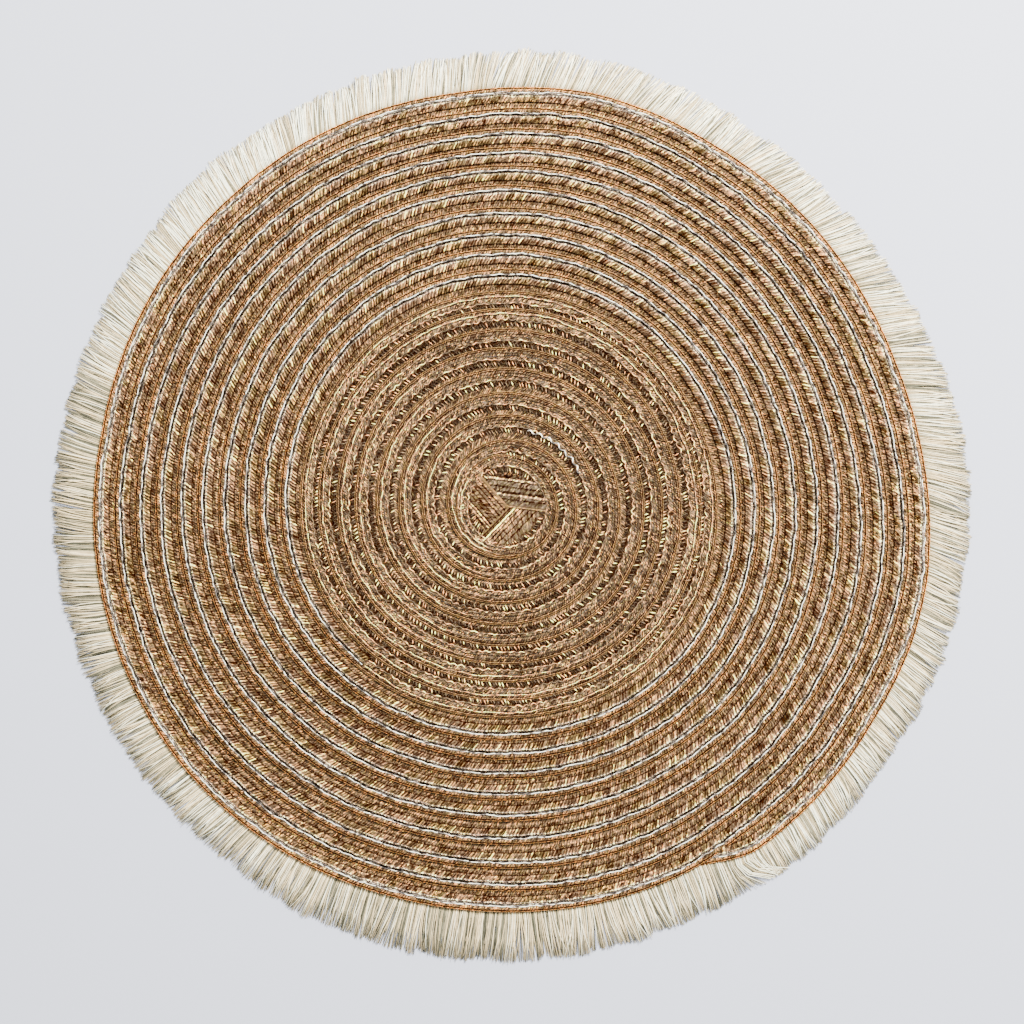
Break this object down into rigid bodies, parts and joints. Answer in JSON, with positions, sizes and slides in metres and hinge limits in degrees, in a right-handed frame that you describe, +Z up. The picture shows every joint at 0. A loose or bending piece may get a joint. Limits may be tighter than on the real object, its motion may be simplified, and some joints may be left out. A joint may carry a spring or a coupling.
{
  "type": "round fabric placemat with fringe",
  "caption": "Round placemat of woven braid tape coiled flat and lapped turn over turn, with a cream brush fringe sewn under its rim.",
  "frame": {"origin": "middle of the mat and its fringe, on the surface that it lies on", "axes": "+Z up out of the mat's face, +X to the right and +Y away from the viewer as the picture shows it from above"},
  "size_m": [0.3834, 0.3803, 0.003],
  "materials": {
    "braid": "brown and tan cotton braid with a white and black line",
    "fringe_yarn": "cream cut yarn"
  },
  "bodies": {
    "root": {"mat": "braid", "fringe": "fringe_yarn"}
  },
  "joints": []
}
